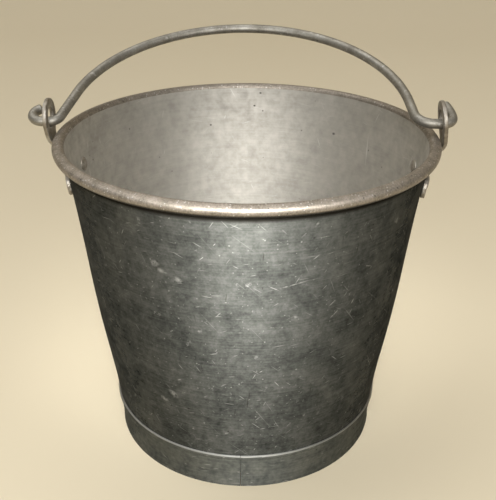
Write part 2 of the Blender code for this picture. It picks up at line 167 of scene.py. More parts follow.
# Light. The room's strength comes first. A far lamp has the way it lies from the pail, its strength
# and its spread in degrees. A near one has its place, what it aims at, its width and height, its
# power and its spread in degrees.
ROOM_STRENGTH = 0.3
FAR_LAMPS = (("side_lamp", (0.2, -1.0, 1.0), 0.6, 40), ("top_lamp", (-0.3, 0.25, 1.0), 1.65, 60))
NEAR_LAMPS = (
    ("front_lamp", (0.02, -0.8, 0.58), (0, 0, 0.15), (0.9, 0.25), 1.8, 80),
    ("near_lamp", (0.02, -0.55, 0.52), (0, -0.145, 0.225), (0.2, 0.08), 0.3, 28),
)

# The camera: its place, the ways of its right, its top and its look, its lens and its sensor.
CAMERA_PLACE = Vector((0.021956, -0.598785, 0.446855))
CAMERA_RIGHT = Vector((0.99933, 0.03638, 0.00417))
CAMERA_TOP = Vector((-0.02002, 0.44732, 0.89415))
CAMERA_LOOK = Vector((-0.03067, 0.89363, -0.44775))
LENS = 57.25
SENSOR = 36


# Sizes and colours that a user would change


def length(name, description, default, **limits):
    """A property for a length."""
    words = {"name": name, "description": description}
    return FloatProperty(**words, default=default, unit="LENGTH", precision=5, **limits)


def bend(name, description, degrees):
    """A property for an angle."""
    angle = math.radians(degrees)
    return FloatProperty(name=name, description=description, default=angle, subtype="ANGLE")


def colour(name, description, default):
    """A property for a colour, given as a hex value and kept linear."""
    words = {"name": name, "description": description}
    return FloatVectorProperty(**words, default=linear(default), size=3, subtype="COLOR", min=0, max=1)


def linear(code):
    """An sRGB hex colour as linear red, green and blue, by the sRGB standard's formula."""
    shares = [int(code[i:i + 2], 16) / 255 for i in (1, 3, 5)]
    return tuple(s / 12.92 if s <= 0.04045 else ((s + 0.055) / 1.055) ** 2.4 for s in shares)


class PailSizes(bpy.types.PropertyGroup):
    """Sizes of the pail's pieces."""

    sheet: length("Sheet", "Thickness of the shell's sheet", 1.5 * MM, min=0.5 * MM)
    base_radius: length("Base radius", "Outside radius of the wall at the bottom", 110 * MM)
    wall_swell: length("Wall swell", "How far the wall swells out above the strip", 1.7 * MM)
    corner_radius: length("Corner radius", "Radius between the wall and the bottom", 6 * MM)
    curl_radius: length("Curl radius", "Outside radius of the rolled rim", 4.6 * MM)
    curl_sweep: bend("Curl sweep", "How far the rim is rolled", 302)
    curl_flat: length("Curl flat", "How far the curl's top outer side is worn down", 0.6 * MM)
    wave_height: length("Wave height", "How far the hand-worn wall is pushed in", 0.5 * MM)
    wave_length: length("Wave length", "Distance between the wall's shallow hollows", 70 * MM)
    shell_steps: IntProperty(name="Steps", description="Faces round the shell", default=300, min=12)
    strip_sheet: length("Strip sheet", "Thickness of the strip round the foot", 1.0 * MM)
    strip_upright: length("Upright", "Height of the strip's upright lower part", 13 * MM)
    clearance: length("Clearance", "Gap between the wall and what lies on it", 0.3 * MM)
    bead_height: length("Bead height", "Height of the bead along the strip's top edge", 3.6 * MM)
    bead_proud: length("Bead", "How far the bead stands proud", 0.6 * MM)
    seam_gap: length("Seam", "Gap between the strip's two ends", 0.4 * MM)
    rod_radius: length("Rod radius", "Radius of the bail's rod", 3.9 * MM)
    bail_rise: length("Bail rise", "From the pivot line to the middle of the arch", 152.9 * MM)
    bail_lean: bend("Bail lean", "How far the bail leans back", 73.5)
    tip_rounding: length("Tip rounding", "Rounding of the rod's two cut ends", 1.8 * MM)
    rivet_head: length("Rivet head", "Radius of a rivet's head", 5.5 * MM)
    rivet_tail: length("Rivet tail", "Radius of a rivet's hammered tail", 5.8 * MM)
    rivet_shank: length("Rivet shank", "Radius of a rivet's shank", 3 * MM)
    head_height: length("Head height", "Height of a rivet's head", 1 * MM)
    tail_height: length("Tail height", "Height of a rivet's tail", 1.7 * MM)
    rivet_seat: length("Rivet seat", "How far a head or a tail stands off its seat", 0.35 * MM)
    ear_thickness: length("Ear thickness", "Thickness of an ear's plate", 3.4 * MM)
    casting_grain: length("Casting grain", "Edge length of the ears' surface mesh", 0.55 * MM)


class PailColours(bpy.types.PropertyGroup):
    """Colours of the pail's metals and of the stage."""

    wall_dark: colour("Wall, dark", "Oxidised outside of the shell", "#3A3C38")
    wall_light: colour("Wall, light", "Rubbed outside of the shell", "#7B7C77")
    wall_edge: colour("Wall, edge", "Tint of the outside and the strip where they turn away", "#7A7468")
    inside_dark: colour("Inside, dark", "Dull inside of the shell", "#A5A198")
    inside_light: colour("Inside, light", "Brighter inside of the shell", "#C8C4BB")
    rim_dark: colour("Rim, dark", "Brownish film on the curl", "#7B7468")
    rim_light: colour("Rim, light", "Rubbed metal on the curl", "#A89F94")
    strip_dark: colour("Strip, dark", "Dull strip round the foot", "#4E524F")
    strip_light: colour("Strip, light", "Rubbed strip round the foot", "#84857F")
    ear_dark: colour("Ear, dark", "Brownish film on the castings", "#877F73")
    ear_light: colour("Ear, light", "Cleaner metal on the castings", "#AFA99E")
    scratch: colour("Scratch", "Bare metal in scratches and on edges", "#D9D8D2")
    # Dark colour for dirt in pits and grooves, and also for the painted shade under the curl.
    dirt_and_shade: colour("Pit", "Dirt in pits and grooves", "#2E2B26")
    rod_dark: colour("Rod, dark", "Brownish film on the bail", "#7F7A70")
    rod_light: colour("Rod, light", "Rubbed metal on the bail", "#A9A69D")
    floor: colour("Floor", "Pale floor and backdrop", "#DACEB3")
    room: colour("Room", "Light from all around", "#F2EDE4")


# Small helpers for meshes


def new_object(name, data):
    """An object of its own in the scene."""
    item = bpy.data.objects.new(name, data)
    bpy.context.scene.collection.objects.link(item)
    return item


def arc(centre, radius, start, end, steps):
    """Points on an arc, both ends included."""
    angles = [start + (end - start) * i / steps for i in range(steps + 1)]
    return [(centre[0] + radius * math.cos(a), centre[1] + radius * math.sin(a)) for a in angles]


def fill_in(points, longest):
    """The same chain of points, with its long stretches divided."""
    filled = [points[0]]
    for here, there in zip(points, points[1:]):
        parts = max(1, math.ceil(math.dist(here, there) / longest))
        for i in range(1, parts + 1):
            share = i / parts
            filled.append(tuple(a + (b - a) * share for a, b in zip(here, there)))
    return filled


def chain_mesh(name, points, numbers=None):
    """Points of the XZ plane or of space as a mesh of edges, with a number kept on each if given."""
    mesh = bpy.data.meshes.new(name)
    places = [point if len(point) == 3 else (point[0], 0, point[1]) for point in points]
    mesh.from_pydata(places, [(i, i + 1) for i in range(len(points) - 1)], [])
    if numbers:
        finish = mesh.attributes.new("finish", "FLOAT", "POINT")
        finish.data.foreach_set("value", numbers)
    return mesh


def grow(name, source, tree, inputs):
    """Runs a Geometry Nodes tree on a source mesh and gives the result as an object with a plain mesh."""
    piece = new_object(name, source)
    modifier = piece.modifiers.new(tree.name, "NODES")
    modifier.node_group = tree
    for item in tree.interface.items_tree:
        if item.in_out == "INPUT" and item.name in inputs:
            modifier[item.identifier] = inputs[item.name]
    depsgraph = bpy.context.evaluated_depsgraph_get()
    evaluated = piece.evaluated_get(depsgraph)
    mesh = bpy.data.meshes.new_from_object(evaluated, preserve_all_data_layers=True, depsgraph=depsgraph)
    piece.modifiers.clear()
    piece.data = mesh
    mesh.name = name
    bpy.data.meshes.remove(source)
    return piece


def close_and_face_out(piece, sharp=SHARP):
    """Merges doubles, closes open ends, turns faces outwards and shades the piece smooth."""
    shape = bmesh.new()
    shape.from_mesh(piece.data)
    bmesh.ops.remove_doubles(shape, verts=shape.verts, dist=SAME_POINT)
    edges = [edge for edge in shape.edges if edge.is_boundary]
    bmesh.ops.holes_fill(shape, edges=edges, sides=0)
    bmesh.ops.recalc_face_normals(shape, faces=shape.faces)
    shape.to_mesh(piece.data)
    shape.free()
    piece.data.shade_smooth()
    piece.data.set_sharp_from_angle(angle=sharp)


def settle(piece, body, slot, *nodes):
    """Says which body a piece rides on and hides the nodes that it stands for; the slot is not used."""
    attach(piece, body)
    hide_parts(*nodes)


# Node trees


def add(tree, kind, inputs=None, output=0, **settings):
    """Adds a node with its settings and its inputs, linked or fixed, and gives one of its outputs."""
    node = tree.nodes.new(kind)
    for name, value in settings.items():
        setattr(node, name, value)
    for key, value in (inputs or {}).items():
        if isinstance(value, bpy.types.NodeSocket):
            tree.links.new(value, node.inputs[key])
        else:
            node.inputs[key].default_value = value
    return node.outputs[output] if node.outputs else node


def new_geometry_tree(name, **inputs):
    """A Geometry Nodes tree with inputs, listed by kind, and one geometry output. Gives it and them."""
    tree = bpy.data.node_groups.new(name, "GeometryNodeTree")
    for kind, names in inputs.items():
        for socket in names:
            tree.interface.new_socket(socket, in_out="INPUT", socket_type=f"NodeSocket{kind}")
    tree.interface.new_socket("Geometry", in_out="OUTPUT", socket_type="NodeSocketGeometry")
    return tree, tree.nodes.new("NodeGroupInput").outputs


def push_in(tree, geometry, noise, depth, way=None):
    """Moves a surface in by a noise times a depth, against its normals or another way out."""
    low = add(tree, MATH, {0: noise, 1: depth}, operation="MULTIPLY")
    inward = add(tree, MATH, {0: low, 1: -1.0}, operation="MULTIPLY")
    if way is None:
        way = add(tree, "GeometryNodeInputNormal")
    offset = add(tree, VECTOR_MATH, {0: way, "Scale": inward}, operation="SCALE")
    return add(tree, "GeometryNodeSetPosition", {"Geometry": geometry, "Offset": offset})


def way_out(tree, place):
    """The level way from the pail's axis to a place, one long."""
    flat = add(tree, VECTOR_MATH, {0: place, 1: (1, 1, 0)}, operation="MULTIPLY")
    return add(tree, VECTOR_MATH, {0: flat}, operation="NORMALIZE")


def end_with(tree, geometry, material):
    """Sets the material, joins the tree's output and gives the tree."""
    painted = add(tree, "GeometryNodeSetMaterial", {"Geometry": geometry, "Material": material})
    add(tree, "NodeGroupOutput", {"Geometry": painted})
    return tree


def turning_group():
    """A group that turns a section, a chain of points in the XZ plane, about Z."""
    tree, given = new_geometry_tree(
        "Turn a section", Geometry=["Section"], Int=["Steps"], Float=["Start", "Sweep"]
    )
    section = given["Section"]
    rows = add(tree, "GeometryNodeAttributeDomainSize", {0: section}, "Point Count", component="MESH")
    columns = add(tree, "FunctionNodeIntegerMath", {0: given["Steps"], 1: 1}, operation="ADD")
    grid = add(tree, "GeometryNodeMeshGrid", {"Vertices X": columns, "Vertices Y": rows}, "Mesh")
    index = add(tree, "GeometryNodeInputIndex")
    row = add(tree, "FunctionNodeIntegerMath", {0: index, 1: rows}, operation="MODULO")
    column = add(tree, "FunctionNodeIntegerMath", {0: index, 1: rows}, operation="DIVIDE_FLOOR")
    sampled = []
    for value, kind in (
        (add(tree, "GeometryNodeInputPosition"), "FLOAT_VECTOR"),
        (add(tree, "GeometryNodeInputNamedAttribute", {"Name": "finish"}, data_type="FLOAT"), "FLOAT"),
    ):
        inputs = {"Geometry": section, "Value": value, "Index": row}
        sampled.append(add(tree, "GeometryNodeSampleIndex", inputs, data_type=kind))
    point, finish = sampled
    share = add(tree, MATH, {0: column, 1: given["Steps"]}, operation="DIVIDE")
    angle = add(tree, MATH, {0: share, 1: given["Sweep"], 2: given["Start"]}, operation="MULTIPLY_ADD")
    turned = add(tree, "ShaderNodeVectorRotate", {"Vector": point, "Angle": angle}, rotation_type="Z_AXIS")
    kept = {"Geometry": grid, "Name": "finish", "Value": finish}
    marked = add(tree, "GeometryNodeStoreNamedAttribute", kept, data_type="FLOAT")
    placed = add(tree, "GeometryNodeSetPosition", {"Geometry": marked, "Position": turned})
    merged = add(tree, "GeometryNodeMergeByDistance", {"Geometry": placed, "Distance": SAME_POINT})
    add(tree, "NodeGroupOutput", {"Geometry": merged})
    return tree


def hand_worn(tree, geometry, height, wave_length, seed, mask):
    """Pushes a round wall in along its radius by soft noise, where a mask allows it."""
    place = add(tree, "GeometryNodeInputPosition")
    scale = add(tree, MATH, {0: 1.0, 1: wave_length}, operation="DIVIDE")
    hollows = {"Vector": place, "W": seed, "Scale": scale, "Detail": 2.0, "Roughness": 0.45}
    noise = add(tree, NOISE, hollows, noise_dimensions="4D")
    masked = add(tree, MATH, {0: noise, 1: mask}, operation="MULTIPLY")
    return push_in(tree, geometry, masked, height, way_out(tree, place))


def wall_mask(tree):
    """One on the open wall, and nought at the rim, the strip, the bottom and the ears' plates. The
    numbers are where each part of it is nought and one, in millimetres."""
    place = add(tree, "GeometryNodeInputPosition")
    height = add(tree, SEPARATE, {0: place}, "Z")
    aside = add(tree, MATH, {0: height.node.outputs["Y"]}, operation="ABSOLUTE")
    above, below, clear, under = (
        add(tree, MAP_RANGE, {0: value, 1: nought * MM, 2: one * MM}, interpolation_type="SMOOTHSTEP")
        for value, nought, one in ((height, 30, 60), (height, 235, 215), (aside, 38, 65), (height, 190, 150))
    )
    off_ears = add(tree, MATH, {0: clear, 1: under}, operation="MAXIMUM")
    on_wall = add(tree, MATH, {0: above, 1: below}, operation="MULTIPLY")
    return add(tree, MATH, {0: on_wall, 1: off_ears}, operation="MULTIPLY")


def shell_tree(turning):
    """The shell: a turned section with shallow waves and one material for each finish."""
    tree, given = new_geometry_tree(
        "Spun shell",
        Geometry=["Section"],
        Int=["Steps"],
        Float=["Wave height", "Wave length", "Seed"],
        Material=["Inside", "Rim", "Outside"],
    )
    inputs = {"Section": given["Section"], "Steps": given["Steps"], "Start": 0.0, "Sweep": FULL_TURN}
    turned = add(tree, "GeometryNodeGroup", inputs, node_tree=turning)
    waves = (given["Wave height"], given["Wave length"], given["Seed"])
    painted = hand_worn(tree, turned, *waves, wall_mask(tree))
    finish = add(tree, "GeometryNodeInputNamedAttribute", {"Name": "finish"}, data_type="FLOAT")
    for name, least in (("Inside", -0.5), ("Rim", 0.5), ("Outside", 1.5)):
        more = {0: finish, 1: least}
        chosen = add(tree, "FunctionNodeCompare", more, data_type="FLOAT", operation="GREATER_THAN")
        where = {"Geometry": painted, "Selection": chosen, "Material": given[name]}
        painted = add(tree, "GeometryNodeSetMaterial", where)
    add(tree, "NodeGroupOutput", {"Geometry": painted})
    return tree


def strip_tree(turning):
    """The strip round the foot: a turned section, open at its seam, with a rough lower edge."""
    tree, given = new_geometry_tree(
        "Foot strip",
        Geometry=["Section"],
        Int=["Steps"],
        Float=["Seam angle", "Edge roughness", "Lowest"],
        Material=["Material"],
    )
    half = add(tree, MATH, {0: given["Seam angle"], 1: 0.5}, operation="MULTIPLY")
    start = add(tree, MATH, {0: half, 1: -QUARTER_TURN}, operation="ADD")
    sweep = add(tree, MATH, {0: FULL_TURN, 1: given["Seam angle"]}, operation="SUBTRACT")
    inputs = {"Section": given["Section"], "Steps": given["Steps"], "Start": start, "Sweep": sweep}
    turned = add(tree, "GeometryNodeGroup", inputs, node_tree=turning)
    place = add(tree, "GeometryNodeInputPosition")
    height = add(tree, SEPARATE, {0: place}, "Z")
    above = add(tree, MATH, {0: height, 1: given["Lowest"]}, operation="SUBTRACT")
    edge_height = 3 * MM
    dent_size = 9 * MM
    low = add(tree, MAP_RANGE, {0: above, 1: 0.0, 2: edge_height, 3: 1.0, 4: 0.0})
    noise = add(tree, NOISE, {"Vector": place, "Scale": 1 / dent_size, "Detail": 3.0, "Roughness": 0.6})
    rise = add(tree, MATH, {0: noise, 1: given["Edge roughness"]}, operation="MULTIPLY")
    lift = add(tree, MATH, {0: rise, 1: low}, operation="MULTIPLY")
    offset = add(tree, "ShaderNodeCombineXYZ", {"Z": lift})
    worn = add(tree, "GeometryNodeSetPosition", {"Geometry": turned, "Offset": offset})
    return end_with(tree, worn, given["Material"])


def rod_tree():
    """A round rod along a path, with its cut ends rounded over and its surface a little uneven."""
    tree, given = new_geometry_tree(
        "Bent rod",
        Geometry=["Path"],
        Int=["Sides"],
        Float=["Radius", "Step", "Tip rounding", "Unevenness", "Seed"],
        Material=["Material"],
    )
    path = add(tree, "GeometryNodeMeshToCurve", {"Mesh": given["Path"]})
    finer = add(tree, "GeometryNodeResampleCurve", {"Curve": path, "Length": given["Step"]}, mode="LENGTH")
    along = add(tree, "GeometryNodeSplineParameter", {}, "Length")
    whole = add(tree, "GeometryNodeSplineLength", {}, "Length")
    rest = add(tree, MATH, {0: whole, 1: along}, operation="SUBTRACT")
    nearest = add(tree, MATH, {0: along, 1: rest}, operation="MINIMUM")
    share = add(tree, MATH, {0: nearest, 1: given["Tip rounding"]}, operation="DIVIDE", use_clamp=True)
    short = add(tree, MATH, {0: 1.0, 1: share}, operation="SUBTRACT")
    square = add(tree, MATH, {0: short, 1: short}, operation="MULTIPLY")
    left = add(tree, MATH, {0: 1.0, 1: square}, operation="SUBTRACT")
    rounded = add(tree, MATH, {0: left}, operation="SQRT")
    blunt = add(tree, MAP_RANGE, {0: rounded, 3: 0.5, 4: 1.0})
    round_section = {"Resolution": given["Sides"], "Radius": given["Radius"]}
    ring = add(tree, "GeometryNodeCurvePrimitiveCircle", round_section)
    swept = {"Curve": finer, "Profile Curve": ring, "Scale": blunt, "Fill Caps": True}
    rod = add(tree, "GeometryNodeCurveToMesh", swept)
    knock_size = 7 * MM
    knocks = {"W": given["Seed"], "Scale": 1 / knock_size, "Detail": 2.0}
    noise = add(tree, NOISE, knocks, noise_dimensions="4D")
    return end_with(tree, push_in(tree, rod, noise, given["Unevenness"]), given["Material"])


def rivets_tree(turning):
    """A turned rivet on each point, with its axis square to the leaning wall."""
    tree, given = new_geometry_tree(
        "Rivets",
        Geometry=["Places"],
        Object=["Section"],
        Int=["Steps", "Seed"],
        Float=["Wall lean", "Hammering"],
        Material=["Material"],
    )
    section = add(tree, "GeometryNodeObjectInfo", {"Object": given["Section"]}, "Geometry")
    inputs = {"Section": section, "Steps": given["Steps"], "Start": 0.0, "Sweep": FULL_TURN}
    rivet = add(tree, "GeometryNodeGroup", inputs, node_tree=turning)
    place = add(tree, "GeometryNodeInputPosition")
    slope = add(tree, MATH, {0: given["Wall lean"]}, operation="TANGENT")
    down = add(tree, MATH, {0: slope, 1: -1.0}, operation="MULTIPLY")
    drop = add(tree, "ShaderNodeCombineXYZ", {"Z": down})
    axis = add(tree, VECTOR_MATH, {0: way_out(tree, place), 1: drop}, operation="ADD")
    facing = add(tree, "FunctionNodeAlignRotationToVector", {"Vector": axis}, axis="Z")
    draw = {2: 0.0, 3: FULL_TURN, "Seed": given["Seed"]}
    turn = add(tree, "FunctionNodeRandomValue", draw, 1, data_type="FLOAT")
    spin = add(tree, "FunctionNodeAxisAngleToRotation", {"Axis": (0, 0, 1), "Angle": turn})
    rotation = add(tree, "FunctionNodeRotateRotation", {0: facing, 1: spin}, rotation_space="LOCAL")
    each = {"Points": given["Places"], "Instance": rivet, "Rotation": rotation}
    placed = add(tree, "GeometryNodeInstanceOnPoints", each)
    real = add(tree, "GeometryNodeRealizeInstances", {0: placed})
    blow_size = 3 * MM
    noise = add(tree, NOISE, {"Scale": 1 / blow_size, "Detail": 1.0})
    return end_with(tree, push_in(tree, real, noise, given["Hammering"]), given["Material"])


def casting_tree():
    """Keeps on each point how far it stands out from its surroundings, and sets the material."""
    tree, given = new_geometry_tree(
        "Worn casting",
        Geometry=["Casting"],
        Int=["Reach"],
        Float=["Relief", "Relief size"],
        Material=["Material"],
    )
    place = add(tree, "GeometryNodeInputPosition")
    around = {"Value": place, "Iterations": given["Reach"]}
    blurred = add(tree, "GeometryNodeBlurAttribute", around, data_type="FLOAT_VECTOR")
    apart = add(tree, VECTOR_MATH, {0: place, 1: blurred}, operation="SUBTRACT")
    normal = add(tree, "GeometryNodeInputNormal")
    proud = add(tree, VECTOR_MATH, {0: apart, 1: normal}, "Value", operation="DOT_PRODUCT")
    most_proud = 0.5 * MM
    share = add(tree, MAP_RANGE, {0: proud, 1: 0.0, 2: most_proud})
    kept = {"Geometry": given["Casting"], "Name": "wear", "Value": share}
    marked = add(tree, "GeometryNodeStoreNamedAttribute", kept, data_type="FLOAT")
    size = add(tree, MATH, {0: 1.0, 1: given["Relief size"]}, operation="DIVIDE")
    noise = add(tree, NOISE, {"Scale": size, "Detail": 2.0})
    return end_with(tree, push_in(tree, marked, noise, given["Relief"]), given["Material"])


# Metals


def new_metal(name, anisotropy=0.0, edge_tint=None):
    """A metal's material, its tree and the object's coordinates.

    Anisotropy draws highlights out across the lines that spinning left, so up and down the wall."""
    material = bpy.data.materials.new(name)
    material.use_nodes = True
    tree = material.node_tree
    shader = tree.nodes["Principled BSDF"]
    shader.inputs["Metallic"].default_value = 1.0
    if edge_tint is not None:
        shader.inputs["Specular Tint"].default_value = (*edge_tint, 1)
    if anisotropy:
        shader.inputs["Anisotropic"].default_value = anisotropy
        shader.inputs["Anisotropic Rotation"].default_value = 0.25
        tangent = add(tree, "ShaderNodeTangent", direction_type="RADIAL", axis="Z")
        tree.links.new(tangent, shader.inputs["Tangent"])
    return material, tree, add(tree, "ShaderNodeTexCoord", output="Object")


def unrolled(tree, place):
    """The wall laid flat: the way round from the front, at the wall's mean radius, and the height."""
    parts = add(tree, SEPARATE, {0: place}).node.outputs
    front = add(tree, MATH, {0: parts["Y"], 1: -1.0}, operation="MULTIPLY")
    angle = add(tree, MATH, {0: parts["X"], 1: front}, operation="ARCTAN2")
    way_round = add(tree, MATH, {0: angle, 1: MEAN_RADIUS}, operation="MULTIPLY")
    return add(tree, "ShaderNodeCombineXYZ", {"X": way_round, "Y": parts["Z"]})


def clouds(tree, place, size, low, high, detail=4.0):
    """Soft patches of a size in millimetres, nought to one between two limits of the noise."""
    noise = add(
        tree, NOISE, {"Vector": place, "Scale": 1 / (size * MM), "Detail": detail, "Roughness": 0.6}
    )
    return add(tree, MAP_RANGE, {0: noise, 1: low, 2: high})


def turning_lines(tree, place, long, wide):
    """Fine lines round the pail, from noise drawn out level, with sizes in millimetres. The real
    ones are finer than the picture can show, so these are drawn coarser."""
    along = 1 / (long * MM)
    drawn = add(tree, VECTOR_MATH, {0: place, 1: (along, along, 1 / (wide * MM))}, operation="MULTIPLY")
    noise = add(tree, NOISE, {"Vector": drawn, "Scale": 1.0, "Detail": 2.0})
    return add(tree, MAP_RANGE, {0: noise, 1: 0.35, 2: 0.65})


def weighted(tree, parts):
    """Masks added up, each times its share."""
    total = 0.0
    for mask, share in parts:
        total = add(tree, MATH, {0: mask, 1: share, 2: total}, operation="MULTIPLY_ADD")
    return total


def scratches(tree, flat, spacing, longest, wide, tilt, spread, share, seed):
    """Straight scratches, one at most in each cell of a spacing, with a tilt and a length of its own.
    Sizes are in millimetres, and tilts lie within a spread of degrees of the one given."""
    longest = longest * MM
    wide = wide * MM
    moved = add(tree, VECTOR_MATH, {0: flat, 1: (seed, seed, 0)}, operation="ADD")
    cells = {"Vector": moved, "Scale": 1 / (spacing * MM)}
    middle = add(tree, "ShaderNodeTexVoronoi", cells, "Position", voronoi_dimensions="2D")
    draw = add(tree, "ShaderNodeSeparateColor", {0: middle.node.outputs["Color"]}).node.outputs
    away = add(tree, VECTOR_MATH, {0: moved, 1: middle}, operation="SUBTRACT")
    ends = {3: math.radians(-tilt - spread), 4: math.radians(spread - tilt)}
    turn = add(tree, MAP_RANGE, {0: draw[0], **ends})
    laid = add(tree, "ShaderNodeVectorRotate", {"Vector": away, "Angle": turn}, rotation_type="Z_AXIS")
    parts = add(tree, SEPARATE, {0: laid}).node.outputs
    along = add(tree, MATH, {0: parts["X"]}, operation="ABSOLUTE")
    across = add(tree, MATH, {0: parts["Y"]}, operation="ABSOLUTE")
    half = add(tree, MAP_RANGE, {0: draw[1], 3: longest * 0.1, 4: longest * 0.5})
    reach = add(tree, MATH, {0: along, 1: half}, operation="DIVIDE")
    line = add(tree, MAP_RANGE, {0: reach, 1: 1.0, 2: 0.3})
    edge = add(tree, MAP_RANGE, {0: across, 1: wide * 0.7, 2: wide * 0.2})
    chosen = add(tree, MAP_RANGE, {0: draw[2], 1: 1 - share, 2: 1.0})
    for mask in (edge, chosen):
        line = add(tree, MATH, {0: line, 1: mask}, operation="MULTIPLY")
    return line


def scratch_layers(tree, flat, rows, where, tone):
    """A layer for each row of scratches, fainter where a mask is low."""
    layers = []
    for *sizes, strength, seed in rows:
        marks = scratches(tree, flat, *sizes, seed)
        layers.append((add(tree, MATH, {0: marks, 1: where}, operation="MULTIPLY"), strength, tone))
    return layers


def placed_marks(tree, flat, places):
    """Marks at given places: ovals that fade at their edges, added up."""
    marks = []
    for way_round, height, long, wide, tilt in places:
        middle = (way_round * MM, height * MM, 0)
        per_half = (2 / (long * MM), 2 / (wide * MM), 0)
        away = add(tree, VECTOR_MATH, {0: flat, 1: middle}, operation="SUBTRACT")
        turn = {"Vector": away, "Angle": math.radians(-tilt)}
        laid = add(tree, "ShaderNodeVectorRotate", turn, rotation_type="Z_AXIS")
        scaled = add(tree, VECTOR_MATH, {0: laid, 1: per_half}, operation="MULTIPLY")
        reach = add(tree, VECTOR_MATH, {0: scaled}, "Value", operation="LENGTH")
        marks.append((add(tree, MAP_RANGE, {0: reach, 1: 1.3, 2: 0.2}), 1.0))
    return weighted(tree, marks)


def flecks(tree, place, spacing, radius, share):
    """Small round spots in a share of the cells, with the spacing and the radius in millimetres."""
    cells = add(tree, "ShaderNodeTexVoronoi", {"Vector": place, "Scale": 1 / (spacing * MM)}, "Distance")
    edge = radius / spacing
    spot = add(tree, MAP_RANGE, {0: cells, 1: edge, 2: edge / 2})
    draw = add(tree, "ShaderNodeSeparateColor", {0: cells.node.outputs["Color"]})
    chosen = add(tree, MATH, {0: draw, 1: 1 - share}, operation="GREATER_THAN")
    return add(tree, MATH, {0: spot, 1: chosen}, operation="MULTIPLY")


def finish_metal(material, colours, layers, roughness, relief, depth):
    """Joins a metal's layers and gives it: two colours by a mask, then a mask, a strength and a
    colour for each layer over them, roughness between two values by a mask, and relief as heights
    with their shares, to a depth in millimetres."""
    tree = material.node_tree
    mask, dark, light = colours
    base = add(tree, "ShaderNodeMix", {0: mask, 6: (*dark, 1), 7: (*light, 1)}, 2, data_type="RGBA")
    for mask, strength, tone in layers:
        share = add(tree, MATH, {0: mask, 1: strength}, operation="MULTIPLY")
        base = add(tree, "ShaderNodeMix", {0: share, 6: base, 7: (*tone, 1)}, 2, data_type="RGBA")
    mask, least, most = roughness
    rough = add(tree, MAP_RANGE, {0: mask, 3: least, 4: most})
    heights = {"Height": weighted(tree, relief), "Strength": 1.0, "Distance": depth * MM}
    bump = add(tree, "ShaderNodeBump", heights)
    for name, result in (("Base Color", base), ("Roughness", rough), ("Normal", bump)):
        tree.links.new(result, tree.nodes["Principled BSDF"].inputs[name])
    return material


def painted_shade_under_curl(tree, place):
    """Painted shade in the groove under the curl, nought to one: on the curl's underside and the wall there.
    """
    height = add(tree, SEPARATE, {0: place}, "Z")
    low, near = (
        add(tree, MAP_RANGE, {0: height, 1: SHELL_HIGH.z - nought * MM, 2: SHELL_HIGH.z - one * MM})
        for nought, one in ((6.0, 7.6), (16, 13.4))
    )
    return add(tree, MATH, {0: low, 1: near}, operation="MULTIPLY")


def spun_outside(colours):
    """Spun aluminium, oxidised and carried about for years: a dull, cool grey that is mottled all
    over, with faint turning lines, loose scratches in all directions, pale dabs and dark pits. Painted
    shade darkens it towards the bottom and along the groove under the curl."""
    material, tree, place = new_metal("spun_outside", 0.68, colours.wall_edge)
    flat = unrolled(tree, place)
    height = add(tree, SEPARATE, {0: place}, "Z")
    cloudy = clouds(tree, place, 26, 0.3, 0.7, 3.5)
    mottle = clouds(tree, place, 6, 0.32, 0.68, 3.0)
    grain = clouds(tree, place, 1.7, 0.32, 0.68, 1.0)
    lines = turning_lines(tree, place, 60, 1.3)
    mix = weighted(tree, [(cloudy, 0.4), (mottle, 0.3), (grain, 0.15), (lines, 0.15)])
    mix = add(tree, MAP_RANGE, {0: mix, 1: 0.06, 2: 0.98})
    # Painted shade: the wall's grey is made darker towards the bottom, from 200 mm down.
    low_shade = add(tree, MAP_RANGE, {0: height, 1: 0.2, 2: 0.12, 3: 0.0, 4: 0.12})
    mix = add(tree, MATH, {0: mix, 1: low_shade}, operation="SUBTRACT", use_clamp=True)
    rubbed = clouds(tree, place, 38, 0.45, 0.6, 2.0)
    patchy = add(tree, MAP_RANGE, {0: rubbed, 3: 0.35, 4: 1.0})
    soft = clouds(tree, place, 2.5, 0.35, 0.55, 2.0)
    pale = add(tree, MATH, {0: placed_marks(tree, flat, PALE_MARKS), 1: soft}, operation="MULTIPLY")
    dark = placed_marks(tree, flat, DARK_MARKS)
    pits = flecks(tree, place, 13, 0.9, 0.25)
    layers = scratch_layers(tree, flat, WALL_SCRATCHES, patchy, colours.scratch)
    layers += [
        (clouds(tree, place, 8, 0.68, 0.76, 3.0), 0.25, colours.scratch),
        (pale, 0.42, colours.scratch),
        (flecks(tree, place, 6, 0.8, 0.2), 0.28, colours.scratch),
        (flecks(tree, place, 3.2, 0.6, 0.25), 0.22, colours.scratch),
        (pits, 0.6, colours.dirt_and_shade),
        (scratches(tree, flat, 24, 11, 0.6, 90, 8, 0.4, 59.0), 0.8, colours.dirt_and_shade),
        (dark, 0.75, colours.dirt_and_shade),
        # Painted shade: a dark band along the groove under the curl.
        (painted_shade_under_curl(tree, place), 0.92, colours.dirt_and_shade),
    ]
    relief = [(lines, 0.3), (cloudy, 1.0), (mottle, 0.8), (grain, 0.4), (pits, -2.0), (dark, -2.0)]
    greys = (mix, colours.wall_dark, colours.wall_light)
    return finish_metal(material, greys, layers, (cloudy, 0.74, 0.66), relief, 0.03)


